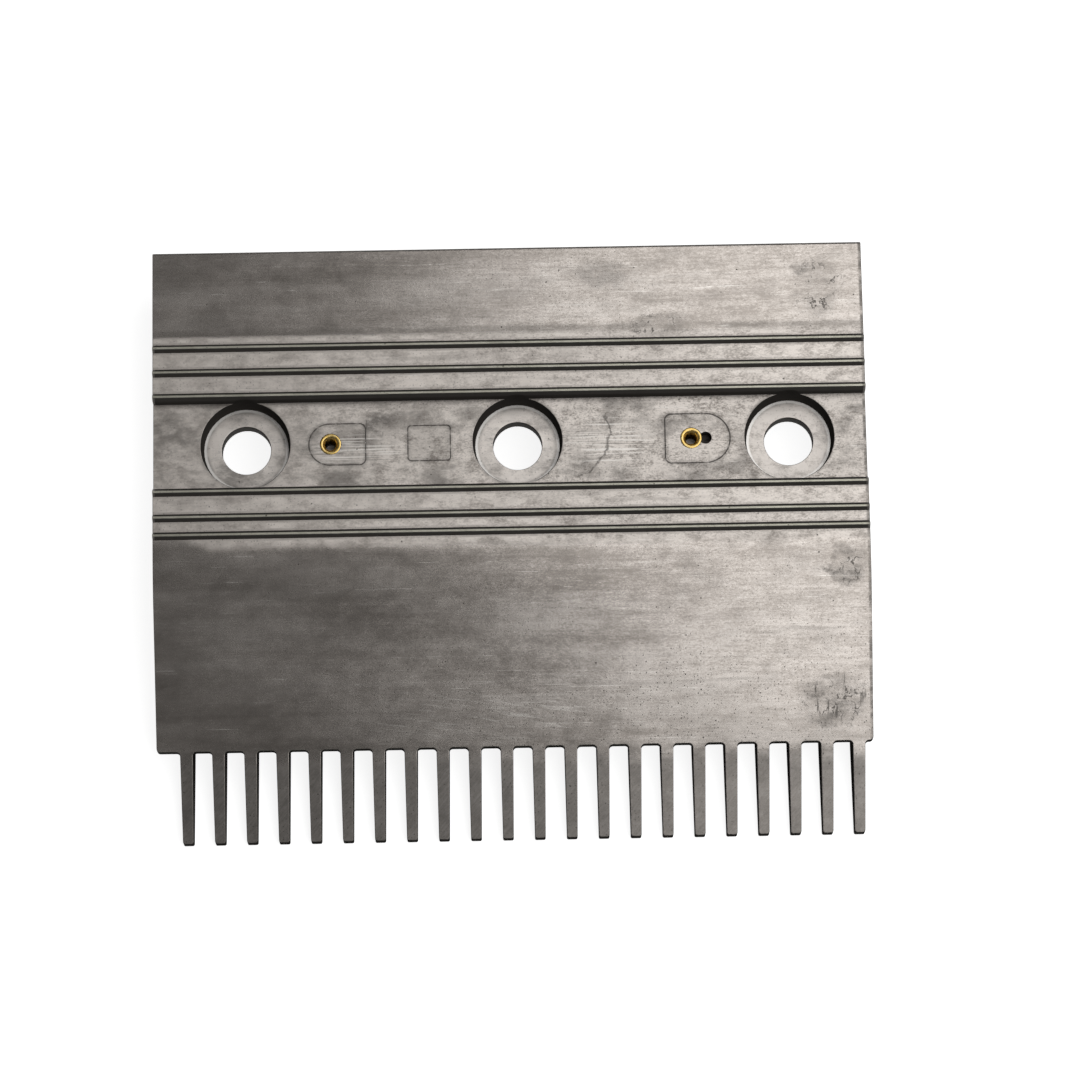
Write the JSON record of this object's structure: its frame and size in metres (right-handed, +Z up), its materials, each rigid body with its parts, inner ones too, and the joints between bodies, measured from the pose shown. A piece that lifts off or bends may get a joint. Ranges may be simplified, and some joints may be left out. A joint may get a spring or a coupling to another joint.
{
  "type": "escalator comb plate",
  "caption": "Aluminium end segment of an escalator comb: long flat teeth, a sloping ramp, transverse grip ribs and a sunk fixing band with counterbored bolt holes and brass threaded inserts.",
  "frame": {"origin": "axis of the middle bolt hole at the flat mounting face under the plate", "axes": "+X across the stairway, +Y away from the steps, +Z up out of the tread surface; the teeth point to -Y"},
  "size_m": [0.2029, 0.1675, 0.0298],
  "materials": {
    "cast_aluminium": "bare die casting, top linished across the width, with fine pits, scratches and dirt in the corners",
    "insert_brass": "turned, slightly dulled"
  },
  "bodies": {
    "root": {"comb_casting": "cast_aluminium", "first_threaded_insert": "insert_brass", "second_threaded_insert": "insert_brass"}
  },
  "joints": []
}
